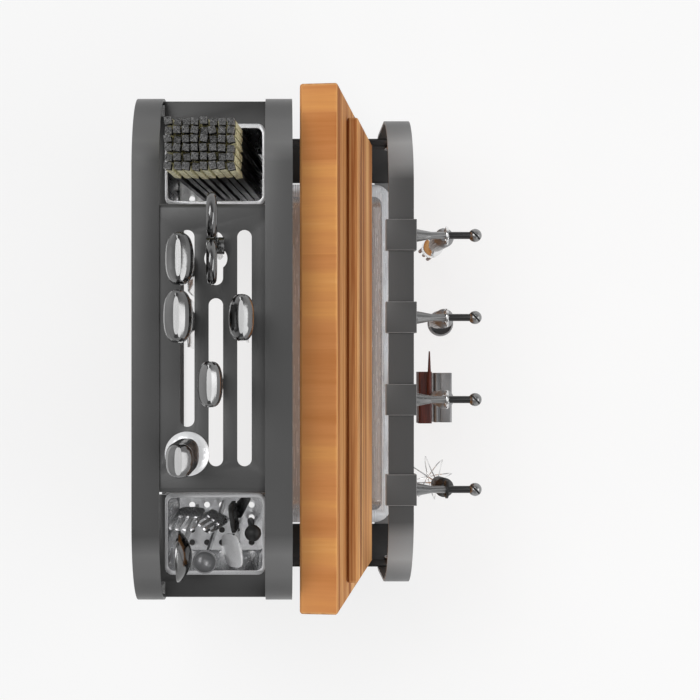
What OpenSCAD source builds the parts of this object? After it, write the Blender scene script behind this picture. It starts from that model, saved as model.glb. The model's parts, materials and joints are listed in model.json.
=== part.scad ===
// Free-standing kitchen rack: three upright steel loops carry a slotted knife plate, two lift-out
// baskets, a pull-out drip tray, cutting boards and sliding hooks.
// X runs along the rack, -Y is the front with the hooks, Z = 0 is the counter.

/* [Frame] */
// Length of the rack along the counter
rack_len = 400; // [380:1:430]
// Height of the rear and middle loops above the counter
loop_h = 300; // [285:1:330]
// Height of the front loop above the counter
front_h = 195; // [185:1:215]
// Width of the flat steel strip of the loops
strip_w = 21; // [18:0.5:25]
// Thickness of the strip
strip_t = 2.5; // [2:0.1:3.5]
// Outer corner radius of the loops
loop_r = 64; // [60:1:68]
// Clear depth of each bay between two loops
bay = 80.5; // [78:0.5:90]
// Height of the rubber feet
foot_h = 3; // [2:0.5:5]

/* [Knife plate] */
// Gap between the slotted plate's ends and the baskets
plate_gap = 7; // [5:0.5:14]
// Thickness of the plate
plate_t = 1.5; // [1:0.1:2.5]
// Depth of the plate's turned-down ends
plate_flange = 14; // [8:1:20]
// Width of the knife slots
slot_w = 11; // [9:0.5:12]
// Distance between the rows of slots
slot_pitch = 21.8; // [20:0.1:23]
// Distance from the plate's end to a full-length slot
slot_margin = 20; // [14:1:24]
// Radius of the round opening of the scissors' keyhole
keyhole_r = 8.8; // [7:0.1:10]
// Radius of the rod of the honing steel
rod_r = 5; // [4:0.25:6]

/* [Baskets] */
// Length of a basket along the rack
basket_len = 60; // [50:1:60]
// Height of a basket
basket_h = 141; // [120:1:150]
// Distance from the top of the loops down to the baskets' rims
rim_drop = 54; // [50:1:60]
// Width of the strip between a basket and the legs
shelf_w = 20.5; // [18:0.5:23]
// Wall of a basket
basket_t = 1; // [0.8:0.1:1.5]
// Sheet of the basket holders
sheet_t = 1.2; // [1:0.1:1.6]
// Radius of the drain holes
drain_r = 2.65; // [1.5:0.05:3.2]
// Distance between drain holes along the rack
drain_pitch = 11.2; // [9:0.1:14]
// Distance between drain holes across the rack
drain_step = 13.2; // [9:0.1:14]

/* [Base] */
// Height of the upper edge of the curved base plates above the counter
base_top = 59; // [50:1:62]
// Width of a base plate, seen from above
base_w = 38; // [36:0.5:44]
// Height of the drip tray
tray_h = 12; // [8:0.5:14]
// Sheet of the drip tray
tray_t = 0.8; // [0.6:0.1:1.2]
// Width of the drip tray's flat rim
tray_rim = 8; // [5:0.5:10]

/* [Boards] */
// How far the thick board stands out past each end of the rack
board_over = 8.5; // [4:0.5:20]
// Height of the thick board along its face
board_h = 204.5; // [180:0.5:215]
// Thickness of the thick board
board_t = 30.2; // [22:0.1:32]
// Lean of the boards from upright, in degrees
board_lean = 8; // [6:0.05:9]
// How far the thin board ends short of each end of the rack
thin_inset = 7; // [7:0.5:14]
// Height of the thin board along its face
thin_h = 148.2; // [120:0.2:160]
// Thickness of the thin board
thin_t = 9.4; // [6:0.1:10]

/* [Knives] */
// Thickness of the knife blades
blade_t = 2; // [1.5:0.1:3]
// Width of the widest knife handle at its butt
butt_w = 37; // [30:0.5:37]
// Thickness of the thickest knife handle at its butt
butt_t = 20; // [16:0.5:20]

/* [Chopsticks] */
// Side of a chopstick
stick_side = 6.2; // [5:0.1:6.4]
// Length of a chopstick
stick_len = 225; // [200:1:240]
// Lean of the chopsticks from upright, in degrees
stick_lean = 5; // [3:0.5:5.5]

/* [Hooks] */
// Distance between hooks
hook_pitch = 70.8; // [66:0.2:74]
// Length of a hook's clip along the bar
clip_len = 26; // [20:1:30]
// Wall of a hook's clip
clip_t = 2; // [1.5:0.1:2.5]
// Reach of a hook in front of the front loop
hook_reach = 57; // [54:0.5:64]
// Radius of a hook's arm
arm_r = 3; // [2.5:0.1:3.4]
// Radius of the ball at the end of an arm
ball_r = 5.5; // [4.5:0.1:6.5]
// Radius of the hanging tools' round grips
grip_r = 8.2; // [6:0.1:9]

/* [Hidden] */
$fn = 64;
hull_fn = 32;

// Clearances and overshoots
over = 1;       // how far a cut runs past a face
seat = 0.3;     // between a loose piece and what carries it
fit = 0.05;     // radial, between a screw and its hole
edge = 0.1;     // between two sheets that lie on each other round a bend

// Frame
pitch = bay + strip_w;
mid_y = hook_reach / 2;
rear_y = mid_y + pitch;
front_y = mid_y - pitch;
leg_x = rack_len / 2 - strip_t;
corner_x = rack_len / 2 - loop_r;
base_corner_z = foot_h + loop_r;
bar_under = loop_h - strip_t;
front_edge = front_y - strip_w / 2;
bay_y0 = mid_y + strip_w / 2;
bay_y1 = rear_y - strip_w / 2;
base_inner = rack_len / 2 - base_w;

// Basket holders and baskets
rim_z = loop_h - rim_drop;
rim_w = 2.4;
rim_over_y = 1.2;
rim_t = 1.3;
side_gap = 1.6;
basket_r = 6;
basket_x1 = leg_x - shelf_w;
basket_x0 = basket_x1 - basket_len;
basket_y0 = bay_y0 + side_gap;
basket_y1 = bay_y1 - side_gap;
basket_z0 = rim_z - basket_h;
holder_top = rim_z - rim_t - edge;
ledge_w = 7;
lip_w = 5;
ear_h = 20;
ear_top = min(holder_top, loop_h - loop_r - 2);
ear_overlap = 17;
floor_z = basket_z0 + basket_t;

// Knife plate: three rows of slots, numbered -1, 0 and 1 from front to rear
plate_tuck = 12;
plate_bend = 4;
plate_end = basket_x0 - plate_gap;
row_shift = 2.8;
row_y = mid_y + pitch / 2 - row_shift;
full_slot_x = plate_end - slot_margin;
short_slot_cut = 30;
key_len = 40.5;
key_margin = 1.5;
key_x = full_slot_x - key_margin - key_len / 2;
key_gap = 10;
rod_margin = 29.5;
rod_x = -plate_end + rod_margin;
rod_gap = 1;

// Screws
screw_r = 2;
screw_head_r = 4.4;
screw_head_h = 2.2;
screw_socket_r = 1.5;
nut_r = 3.9;
nut_h = 2.4;
base_screw_angle = 22;

// Base plates and drip tray: the tray's round lower edges follow the loops' corners
base_out_r = loop_r - strip_t - edge;
base_in_r = base_out_r - plate_t;
tray_x = base_inner - 2;
tray_z0 = foot_h + strip_t + seat;
tray_front = front_edge + 6;
tray_rear = mid_y + strip_w / 2 - 3;
tray_r = 16;
tray_bend = tray_h - 1;
tray_wall_x = corner_x + 2 + tray_bend;

// Boards: the thick one's rear face just passes the middle loop's upper bar when it is lifted
board_len = rack_len + 2 * board_over;
board_z0 = base_top + seat;
board_y0 = mid_y - strip_w / 2 - seat - (loop_h - board_z0) * tan(board_lean);
board_round = 2.5;
thin_len = rack_len - 2 * thin_inset;
thin_z0 = base_corner_z - sqrt(pow(base_in_r, 2) - pow(thin_len / 2 - corner_x, 2)) + seat;
thin_drop = (thin_z0 - board_z0 - (board_t + seat) * sin(board_lean)) / cos(board_lean);

// Knives: distance from the slots' right end, row, blade width, blade length, handle length, handle size
KNIVES = [
  [29, 1, 34, 165, 103, 1],
  [70, 1, 38, 178, 122, 1],
  [70, -1, 27, 125, 98, 0.9],
  [117, 0, 24, 110, 108, 0.88],
];
knife_z = bar_under + seat;
neck_l = 14;

// Scissors and honing steel
scissors_x = key_x + 9;
boss_r = 6.5;
boss_over = 1.3;
scissors_z = bar_under + seat + boss_r;
half_t = 2;
half_gap = 0.1;
ring_R = 13;
ring_r = 3.4;
ring_z = 62;
scissor_blade_l = 105;
rod_l = 190;
guard_r = 17;
guard_h = 3;
grip_l = 96;

// Chopsticks
stick_cols = 8;
stick_rows = 6;
stick_gap = 0.4;
stick_x0 = basket_x0 + 15;
stick_y0 = basket_y0 + basket_t + seat;

// Hooks and hanging tools
hook_centre = -8;
hook_shift = [-2.4, 0, 2.4, -1.7];
clip_gap = 0.3;
clip_lip = 5;
arm_z = front_h - 6;
clip_plate_h = 16;
arm_y = front_edge - clip_gap - clip_t;
ball_y = front_edge - hook_reach + ball_r;
root_r = 5.5;
root_l = 13;
tool_y = front_edge - 28;
tool_t = 2;
hole_r = 4.6;
ring_top_r = 7.6;
hole_z = arm_z - (hole_r - arm_r - seat);

function hook_x(i) = hook_centre + (2.5 - i) * hook_pitch + hook_shift[i - 1];

// ---------- Helpers ----------

// Extrudes an X-Z outline along Y
module along_y(y0, y1)
  translate([0, y1, 0]) rotate([90, 0, 0]) linear_extrude(y1 - y0) children();

// Extrudes a Y-Z outline along X
module along_x(x0, x1)
  translate([x0, 0, 0]) rotate([90, 0, 90]) linear_extrude(x1 - x0) children();

// Mirrors to the left end of the rack when side is -1
module on_side(side) mirror([side < 0 ? 1 : 0, 0, 0]) children();

// Box from its lowest to its highest corner
module block(low, high) translate(low) cube(high - low);

// Rounded rectangle, centred on x = 0, standing on y = 0
module round_rect(w, h, r) {
  translate([-w / 2 + r, 0]) square([w - 2 * r, h]);
  translate([-w / 2, r]) square([w, h - 2 * r]);
  for (x = [-w / 2 + r, w / 2 - r], y = [r, h - r]) translate([x, y]) circle(r);
}

// Rectangle with round upper corners only
module round_top(w, h, r) {
  translate([-w / 2 + r, 0]) square([w - 2 * r, h]);
  translate([-w / 2, 0]) square([w, h - r]);
  for (x = [-w / 2 + r, w / 2 - r]) translate([x, h - r]) circle(r);
}

// Slot with round ends, from x0 to x1, centred on y = 0
module slot_2d(x0, x1, w) {
  translate([x0 + w / 2, -w / 2]) square([x1 - x0 - w, w]);
  for (x = [x0 + w / 2, x1 - w / 2]) translate([x, 0]) circle(w / 2);
}

// Plan outline of a pan between two corners, with corner radius r
module plan_rect(x0, y0, x1, y1, r)
  translate([(x0 + x1) / 2, y0]) round_rect(x1 - x0, y1 - y0, r);

// Button-head screw along +X with its head's seat at the origin and its nut at grip
module button_screw(grip) {
  difference() {
    union() {
      translate([0, 0, 0]) rotate([0, 90, 0]) cylinder(r1 = screw_head_r, r2 = screw_head_r * 0.6, h = screw_head_h);
      translate([-grip - nut_h - over, 0, 0]) rotate([0, 90, 0]) cylinder(r = screw_r, h = grip + nut_h + over);
    }
    translate([screw_head_h / 2, 0, 0]) rotate([0, 90, 0]) cylinder(r = screw_socket_r, h = screw_head_h, $fn = 6);
  }
  translate([-grip - nut_h - edge, 0, 0]) rotate([0, 90, 0]) difference() {
    cylinder(r = nut_r, h = nut_h, $fn = 6);
    translate([0, 0, -over]) cylinder(r = screw_r + fit, h = nut_h + 2 * over);
  }
}

// Place of a screw through a loop's lower corner: along the corner's radius
module at_base_screw(side, y)
  on_side(side) translate([corner_x, y, base_corner_z]) rotate([0, base_screw_angle, 0]) children();

// Place of a screw through a leg into a basket holder's ear
module at_holder_screw(side, y)
  on_side(side) translate([0, y, ear_top - ear_h / 2]) children();

// ---------- Frame ----------

module strip_loop(y, h, holders) {
  color("dimgray") difference() {
    along_y(y - strip_w / 2, y + strip_w / 2)
      translate([0, foot_h]) round_rect(rack_len, h - foot_h, loop_r);
    along_y(y - strip_w / 2 - over, y + strip_w / 2 + over)
      translate([0, foot_h + strip_t])
        round_rect(rack_len - 2 * strip_t, h - foot_h - 2 * strip_t, loop_r - strip_t);
    for (side = [-1, 1]) {
      at_base_screw(side, y) translate([loop_r - strip_t - over, 0, 0])
        rotate([0, 90, 0]) cylinder(r = screw_r + fit, h = strip_t + 2 * over);
      if (holders) at_holder_screw(side, y) translate([leg_x - over, 0, 0])
        rotate([0, 90, 0]) cylinder(r = screw_r + fit, h = strip_t + 2 * over);
    }
  }
}

module rear_loop() strip_loop(rear_y, loop_h, true);
module middle_loop() strip_loop(mid_y, loop_h, true);
module front_loop() strip_loop(front_y, front_h, false);

module plate_slots() {
  translate([0, row_y + slot_pitch]) slot_2d(-full_slot_x + short_slot_cut, full_slot_x, slot_w);
  translate([rod_x, row_y + slot_pitch]) circle(rod_r + rod_gap);
  translate([0, row_y]) slot_2d(-full_slot_x, key_x - key_len / 2 - key_gap, slot_w);
  translate([key_x, row_y]) slot_2d(-key_len / 2, key_len / 2, slot_w);
  translate([key_x, row_y]) circle(keyhole_r);
  translate([0, row_y - slot_pitch]) slot_2d(-full_slot_x, full_slot_x, slot_w);
}

module knife_plate() {
  y0 = bay_y0 - plate_tuck;
  y1 = bay_y1 + plate_tuck;
  color("dimgray") difference() {
    along_y(y0, y1) translate([0, bar_under - plate_flange]) round_top(2 * plate_end, plate_flange, plate_bend);
    along_y(y0 - over, y1 + over) translate([0, bar_under - plate_flange - over])
      round_top(2 * (plate_end - plate_t), plate_flange + over - plate_t, plate_bend - plate_t);
    translate([0, 0, bar_under - plate_t - over]) linear_extrude(plate_t + 2 * over) plate_slots();
  }
}

// Sheet-steel pocket for a basket: walls on a floor frame, a rear lip, and a top strip and ears that
// reach the legs
module basket_holder(side) {
  x0 = basket_x0 - seat - sheet_t;
  x1 = basket_x1 + seat + sheet_t;
  y0 = basket_y0 - seat - sheet_t;
  y1 = basket_y1 + seat + sheet_t;
  z0 = basket_z0 - seat - sheet_t;
  lip_x = leg_x - edge;
  color("dimgray") on_side(side) difference() {
    union() {
      block([x0, y0, z0], [x1, y1, z0 + sheet_t]);
      block([x0, y0, z0 + sheet_t + edge], [x1, y1, holder_top]);
      block([x0, y0, holder_top - sheet_t], [x1 + ledge_w, y1 + lip_w, holder_top]);
      block([x1 - sheet_t, y0, holder_top - sheet_t], [lip_x, y1, holder_top]);
      block([lip_x - sheet_t, y0, ear_top - ear_h], [lip_x, y1, holder_top]);
      block([lip_x - sheet_t, bay_y0 - ear_overlap, ear_top - ear_h], [lip_x, bay_y1 + ear_overlap, ear_top]);
    }
    block([x0 + sheet_t, y0 + sheet_t, z0 + sheet_t], [x1 - sheet_t, y1 - sheet_t, holder_top + over]);
    block([x0 + ledge_w, y0 + ledge_w, z0 - over], [x1 - ledge_w, y1 - ledge_w, z0 + sheet_t + over]);
    for (y = [mid_y, rear_y]) translate([leg_x - sheet_t - over, y, ear_top - ear_h / 2])
      rotate([0, 90, 0]) cylinder(r = screw_r + fit, h = sheet_t + 2 * over);
  }
}

// Curved plate that ties the three loops together inside their lower corners
module base_plate(side) {
  color("dimgray") on_side(side) difference() {
    along_y(front_y - strip_w / 2, rear_y + strip_w / 2) intersection() {
      translate([corner_x, base_corner_z]) difference() {
        circle(base_out_r);
        circle(base_in_r);
      }
      translate([base_inner, 0]) square([rack_len / 2 - base_inner, base_top]);
    }
    for (y = [rear_y, mid_y, front_y])
      translate([corner_x, y, base_corner_z]) rotate([0, base_screw_angle, 0])
        translate([base_in_r - over, 0, 0]) rotate([0, 90, 0]) cylinder(r = screw_r + fit, h = plate_t + 2 * over);
  }
}

module rubber_feet() {
  foot_l = 34;
  foot_w = 16;
  foot_x = corner_x - foot_l;
  color("black") for (y = [rear_y, mid_y, front_y], x = [-foot_x, foot_x])
    translate([x, y - foot_w / 2, 0]) linear_extrude(foot_h) round_rect(foot_l, foot_w, foot_w / 2 - over);
}

module holder_screws() {
  color("silver") for (side = [-1, 1], y = [mid_y, rear_y])
    at_holder_screw(side, y) translate([rack_len / 2, 0, 0]) button_screw(strip_t + edge + sheet_t);
}

module base_screws() {
  color("silver") for (side = [-1, 1], y = [rear_y, mid_y, front_y])
    at_base_screw(side, y) translate([loop_r, 0, 0]) button_screw(strip_t + 2 * edge + plate_t);
}

// ---------- Drip tray and baskets ----------

// Pan of height h with round lower edges at its ends, inset from the tray's outer faces
module tray_pan(inset, h)
  intersection() {
    translate([0, 0, tray_z0]) linear_extrude(h)
      plan_rect(-tray_wall_x + inset, tray_front + tray_rim + inset, tray_wall_x - inset,
        tray_rear - tray_rim - inset, tray_r - tray_rim - inset);
    along_y(tray_front, tray_rear) translate([0, tray_z0 + h]) mirror([0, 1])
      round_top(2 * (tray_wall_x - inset), h - inset, tray_bend - inset);
  }

module drip_tray() {
  color("gainsboro") difference() {
    union() {
      tray_pan(0, tray_h);
      translate([0, 0, tray_z0 + tray_h - tray_t]) linear_extrude(tray_t)
        plan_rect(-tray_x, tray_front, tray_x, tray_rear, tray_r);
    }
    tray_pan(tray_t, tray_h + over);
  }
}

// Deep basket with a flat rim and a perforated floor
module basket(side) {
  holes_x = floor((basket_len - 2 * basket_r) / drain_pitch);
  holes_y = floor((basket_y1 - basket_y0 - 2 * basket_r) / drain_step);
  mid_x = (basket_x0 + basket_x1) / 2;
  mid_basket_y = (basket_y0 + basket_y1) / 2;
  color("silver") on_side(side) difference() {
    union() {
      translate([0, 0, basket_z0]) linear_extrude(basket_h)
        plan_rect(basket_x0, basket_y0, basket_x1, basket_y1, basket_r);
      translate([0, 0, rim_z - rim_t]) linear_extrude(rim_t)
        plan_rect(basket_x0 - rim_w, basket_y0 - rim_over_y, basket_x1 + rim_w, basket_y1 + rim_over_y, basket_r);
    }
    translate([0, 0, floor_z]) linear_extrude(basket_h)
      plan_rect(basket_x0 + basket_t, basket_y0 + basket_t, basket_x1 - basket_t, basket_y1 - basket_t,
        basket_r - basket_t);
    for (i = [0 : holes_x], j = [0 : holes_y])
      translate([mid_x + (i - holes_x / 2) * drain_pitch, mid_basket_y + (j - holes_y / 2) * drain_step,
        basket_z0 - over]) cylinder(r = drain_r, h = basket_t + 2 * over);
  }
}

module cutlery_basket() basket(-1);
module chopstick_basket() basket(1);

// Bundle of square chopsticks that stand on the basket's floor and lean to the rear
module chopsticks() {
  step = stick_side + stick_gap;
  color("black") translate([stick_x0, stick_y0 + edge, floor_z + seat]) rotate([-stick_lean, 0, 0])
    for (i = [0 : stick_rows - 1], j = [0 : stick_cols - 1]) {
      y = j * step;
      translate([i * step, y, (y + stick_side) * tan(stick_lean)]) cube([stick_side, stick_side, stick_len]);
    }
}

// ---------- Cutlery ----------

table_fork_l = 172;
dessert_fork_l = 160;
serving_spoon_l = 190;
small_ladle_l = 162;
peeler_l = 160;
cake_server_l = 168;
bulb_brush_l = 166;
stem_w = 9;
stem_t = 2;

// Stands a piece of length l in the cutlery basket. Its foot and its top are given from the
// basket's inner front corner, and spin turns its flat face.
module in_basket(foot, top, l, spin) {
  shift = top - foot;
  toward = atan2(shift[1], -shift[0]);
  translate([-basket_x0 - foot[0], basket_y0 + foot[1], floor_z + 2 * seat])
    rotate([0, 0, toward]) rotate([0, asin(norm(shift) / l), 0]) rotate([0, 0, spin - toward]) children();
}

// Flat handle in the X-Z plane with a round foot, narrowing upward
module flat_handle(l, w0, w1, t)
  along_y(-t / 2, t / 2) {
    polygon([[-w0 / 2, w0 / 2], [w0 / 2, w0 / 2], [w1 / 2, l], [-w1 / 2, l]]);
    translate([0, w0 / 2]) circle(w0 / 2);
  }

module fork(l, head_w, head_l) {
  tines = 4;
  tine_w = head_w / (2 * tines - 1);
  flat_handle(l - head_l, stem_w, stem_w / 2, stem_t);
  along_y(-0.8, 0.8) difference() {
    translate([0, l - head_l - head_w / 4]) round_rect(head_w, head_l + head_w / 4, head_w / 3);
    for (k = [1 : tines - 1]) translate([(2 * k - tines) * tine_w - tine_w / 2, l - head_l * 0.65])
      square([tine_w, head_l]);
  }
}

// Spoon with a round dished bowl
module spoon(l, bowl_r) {
  dish_r = bowl_r * 1.3;
  shell = 1;
  flat_handle(l - 1.9 * bowl_r, stem_w, stem_w / 2, stem_t);
  translate([0, 0, l - bowl_r]) intersection() {
    rotate([90, 0, 0]) translate([0, 0, -dish_r]) cylinder(r = bowl_r, h = 2 * dish_r);
    translate([0, dish_r - bowl_r * 0.5, 0]) difference() {
      sphere(dish_r);
      sphere(dish_r - shell);
      block([-2 * dish_r, 0, -2 * dish_r], [2 * dish_r, 2 * dish_r, 2 * dish_r]);
    }
  }
}

module table_fork() color("silver") in_basket([33, 45], [2, 62], table_fork_l, 90) fork(table_fork_l, 21, 46);
module dessert_fork() color("silver") in_basket([34, 27], [11, 38], dessert_fork_l, 55) fork(dessert_fork_l, 17, 40);
module serving_spoon() color("silver") in_basket([22, 60], [47, 66], serving_spoon_l, 0) spoon(serving_spoon_l, 20);

// Small ladle with an upright open cup
module small_ladle() {
  l = small_ladle_l;
  cup_r = 9.5;
  shell = 1;
  color("silver") in_basket([18, 37], [50, 46], l, 0) {
    flat_handle(l - cup_r + shell / 2, stem_w, stem_w / 2, stem_t);
    translate([0, 0, l]) difference() {
      sphere(cup_r);
      sphere(cup_r - shell);
      block([-2 * cup_r, -2 * cup_r, 0], [2 * cup_r, 2 * cup_r, 2 * cup_r]);
    }
  }
}

// Peeler: a round grip below a forked frame with a slotted blade
module peeler() {
  l = peeler_l;
  frame_l = 46;
  color("black") in_basket([13, 17], [17, 25], l, 8) {
    along_y(-1.5, 1.5) difference() {
      translate([0, l - frame_l]) round_rect(22, frame_l, 8);
      translate([0, l - frame_l + 8]) round_rect(13, frame_l - 16, 5);
    }
    cylinder(r1 = 4, r2 = 5.5, h = l - frame_l - 8);
    translate([0, 0, l - frame_l - 8]) cylinder(r1 = 5.5, r2 = 3, h = 14);
  }
}

// Server with a broad blade cranked forward from its handle
module cake_server() {
  l = cake_server_l;
  blade_l = 42;
  crank = 25;
  color("silver") in_basket([44.5, 24], [44.2, 35], l, 12) {
    flat_handle(l - blade_l + 4, stem_w, stem_w * 0.8, stem_t);
    translate([0, 0, l - blade_l]) rotate([crank, 0, 0]) along_y(-0.8, 0.8) round_rect(27, blade_l, 13);
  }
}

// Small brush with a bulb of bristles
module bulb_brush() {
  l = bulb_brush_l;
  bulb_r = 6.5;
  color("black") in_basket([33, 13], [27, 8], l, 0) {
    cylinder(r1 = 3, r2 = 2.2, h = l - 40);
    translate([0, 0, l - 40]) cylinder(r1 = 2.2, r2 = 4, h = 18);
    translate([0, 0, l - 22]) cylinder(r1 = 4, r2 = bulb_r * 0.8, h = 12);
    translate([0, 0, l - bulb_r]) sphere(bulb_r);
  }
}

// ---------- Boards ----------

// The boards' shared frame: the thick board's lower rear edge, leaning to the middle loop
module board_frame() translate([0, board_y0, board_z0]) rotate([-board_lean, 0, 0]) children();

module board(l, h, t)
  along_x(-l / 2, l / 2) translate([-t / 2, 0]) round_rect(t, h, board_round);

module cutting_board() color("burlywood") board_frame() board(board_len, board_h, board_t);

module thin_board()
  color("peru") board_frame() translate([0, -board_t - seat, thin_drop]) board(thin_len, thin_h, thin_t);

// ---------- Knives, scissors and honing steel ----------

module at_knife(i) translate([full_slot_x - KNIVES[i][0], row_y + KNIVES[i][1] * slot_pitch, knife_z]) children();

// Blade with a straight spine and a curved edge; the neck passes the slot
module knife_blade(i) {
  w = KNIVES[i][2];
  l = KNIVES[i][3];
  neck_w = 15;
  steps = 10;
  curve = [for (k = [0 : steps]) let (a = 90 * k / steps) [-w / 2 + w * cos(a), -l * 0.55 - l * 0.45 * sin(a)]];
  color("silver") at_knife(i) along_y(-blade_t / 2, blade_t / 2)
    polygon(concat([[-neck_w / 2, 0], [-w / 2, -neck_l]], [for (k = [steps : -1 : 0]) curve[k]],
      [[w / 2, -neck_l - 4], [neck_w / 2, -neck_l + 2], [neck_w / 2, 0]]));
}

// Oval slice of a handle
module slice(z, w, t) translate([0, 0, z]) scale([w, t, 1]) cylinder(d = 1, h = 0.5, $fn = hull_fn);

module knife_handle(i) {
  l = KNIVES[i][4];
  w = butt_w * KNIVES[i][5];
  t = butt_t * KNIVES[i][5];
  collar_w = 19;
  collar_t = slot_w + 2;
  color("silver") at_knife(i) {
    hull() {
      slice(0, collar_w, collar_t);
      slice(l * 0.35, w * 0.62, t * 0.78);
    }
    hull() {
      slice(l * 0.35, w * 0.62, t * 0.78);
      slice(l * 0.85, w, t);
    }
    hull() {
      slice(l * 0.85, w, t);
      slice(l * 0.97, w * 0.94, t * 0.88);
      slice(l - 0.5, w * 0.8, t * 0.62);
    }
  }
}

module at_scissors() translate([scissors_x, row_y, scissors_z]) children();

// One half: a blade below the pivot on one side and a finger ring above it on the other
module scissor_half(side) {
  y0 = side * (half_gap + half_t) / 2;
  ring_x = ring_R + ring_r + 0.4;
  blade_w = 8;
  at_scissors() on_side(side) {
    difference() {
      along_y(y0 - half_t / 2, y0 + half_t / 2) {
        circle(boss_r);
        polygon([[-1, 0], [-1, -scissor_blade_l + 8], [0, -scissor_blade_l],
          [blade_w * 0.8, -scissor_blade_l * 0.5], [blade_w * 0.8, 0]]);
        polygon([[-5, 0], [4, 2], [5 - ring_x, ring_z - ring_R], [-3 - ring_x, ring_z - ring_R]]);
      }
      rotate([90, 0, 0]) translate([0, 0, -2 * boss_r]) cylinder(r = screw_r + fit, h = 4 * boss_r);
    }
    translate([-ring_x, 0, ring_z]) rotate([90, 0, 0]) rotate_extrude() translate([ring_R, 0]) circle(ring_r);
  }
}

module scissors_left_half() color("silver") scissor_half(1);
module scissors_right_half() color("silver") scissor_half(-1);

// Pivot whose wide bosses rest on both sides of the slot
module scissors_pivot() {
  inner = half_t + half_gap / 2 + edge;
  outer = slot_w / 2 + boss_over;
  color("silver") at_scissors() rotate([90, 0, 0]) {
    translate([0, 0, -outer]) cylinder(r = screw_r, h = 2 * outer);
    for (z = [-outer, inner]) translate([0, 0, z]) cylinder(r = boss_r, h = outer - inner);
  }
}

module at_steel() translate([rod_x, row_y + slot_pitch, bar_under + seat]) children();

module steel_rod() {
  color("silver") at_steel() translate([0, 0, -rod_l]) {
    cylinder(r = rod_r, h = rod_l);
    translate([0, 0, -rod_r]) cylinder(r1 = 1, r2 = rod_r, h = rod_r);
  }
}

module steel_guard() {
  color("silver") at_steel() {
    cylinder(r = guard_r, h = guard_h / 2);
    translate([0, 0, guard_h / 2]) cylinder(r1 = guard_r, r2 = guard_r * 0.7, h = guard_h);
  }
}

// Oval grip with shallow ribs and a narrower neck and butt
module steel_grip() {
  w = 25;
  t = 20;
  groove = 1.4;
  ribs = 12;
  rib = grip_l * 0.76 / ribs;
  neck = grip_l * 0.12;
  color("silver") at_steel() translate([0, 0, guard_h * 1.5]) {
    oval_disc(0, w - 8, t - 6, neck);
    for (k = [0 : ribs - 1]) {
      oval_disc(neck + k * rib, w - groove, t - groove, rib);
      oval_disc(neck + (k + 0.2) * rib, w, t, rib * 0.6);
    }
    oval_disc(grip_l - neck, w - 4, t - 4, neck);
  }
}

// Disc with an oval plan of width w and depth t, from height z
module oval_disc(z, w, t, h)
  translate([0, -t / 2, z]) linear_extrude(h) round_rect(w, t, t / 2 - 1);

// ---------- Hooks ----------

// Clip that wraps the front loop's upper bar, open underneath
module hook_clip(i) {
  w = strip_w + 2 * clip_gap;
  h = strip_t + 2 * clip_gap;
  top = front_h + clip_gap + clip_t;
  rear = front_y + w / 2 + clip_t;
  color("dimgray") translate([hook_x(i) - clip_len / 2, 0, 0]) difference() {
    union() {
      block([0, arm_y, top - h - 2 * clip_t], [clip_len, rear, top]);
      block([0, arm_y, top - clip_plate_h], [clip_len, arm_y + clip_t, top]);
    }
    block([-over, front_y - w / 2, top - h - clip_t], [clip_len + over, front_y + w / 2, top - clip_t]);
    block([-over, front_y - w / 2 + clip_lip, top - h - 3 * clip_t], [clip_len + over, front_y + w / 2 - clip_lip, top - clip_t]);
  }
}

// Arm: a flared root, a round bar and a ball with a slot across its top
module hook_arm(i) {
  slot = 1.4;
  color("dimgray") translate([hook_x(i), arm_y, arm_z]) rotate([90, 0, 0]) difference() {
    union() {
      cylinder(r1 = root_r, r2 = arm_r, h = root_l);
      cylinder(r = arm_r, h = arm_y - ball_y);
      translate([0, 0, arm_y - ball_y]) sphere(ball_r);
    }
    translate([0, 0, arm_y - ball_y]) rotate([0, 45, 0])
      block([-slot / 2, ball_r * 0.55, -2 * ball_r], [slot / 2, 2 * ball_r, 2 * ball_r]);
  }
}

// ---------- Hanging tools ----------

module at_tool(i) translate([hook_x(i), tool_y, 0]) children();

// Round grip with sloping shoulders, from height z0 up to just below the hook's arm
module round_grip(z0) {
  below_hole = 12;
  top = hole_z - below_hole;
  shoulder = 8;
  translate([0, 0, z0]) cylinder(r1 = grip_r * 0.45, r2 = grip_r * 0.8, h = shoulder);
  translate([0, 0, z0 + shoulder]) cylinder(r1 = grip_r * 0.8, r2 = grip_r, h = top - z0 - 2 * shoulder);
  translate([0, 0, top - shoulder]) cylinder(r1 = grip_r, r2 = grip_r * 0.5, h = shoulder);
}

// Flat hanging handle with an eye round the hook's arm, down to height z0
module eye_handle(z0, w) {
  shoulder = ring_top_r - 0.6;
  taper_z = hole_z - 26;
  difference() {
    union() {
      along_y(-tool_t / 2, tool_t / 2) translate([0, hole_z]) circle(ring_top_r);
      along_y(-tool_t / 2, tool_t / 2) polygon([[-shoulder, hole_z], [shoulder, hole_z], [w / 2, taper_z],
        [w / 2, z0], [-w / 2, z0], [-w / 2, taper_z]]);
    }
    along_y(-tool_t, tool_t) translate([0, hole_z]) circle(hole_r);
  }
}

brush_top = 84;
ferrule_h = 24;
ferrule_r = 9;
bristle_l = 34;

module brush_handle() {
  neck = 12;
  color("silver") at_tool(1) {
    eye_handle(brush_top, 8);
    round_grip(brush_top + neck);
  }
}

module brush_ferrule() {
  color("silver") at_tool(1) translate([0, 0, brush_top - ferrule_h]) {
    cylinder(r = ferrule_r, h = ferrule_h - 4);
    translate([0, 0, ferrule_h - 4]) cylinder(r1 = ferrule_r, r2 = 4.5, h = 4);
  }
}

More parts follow.
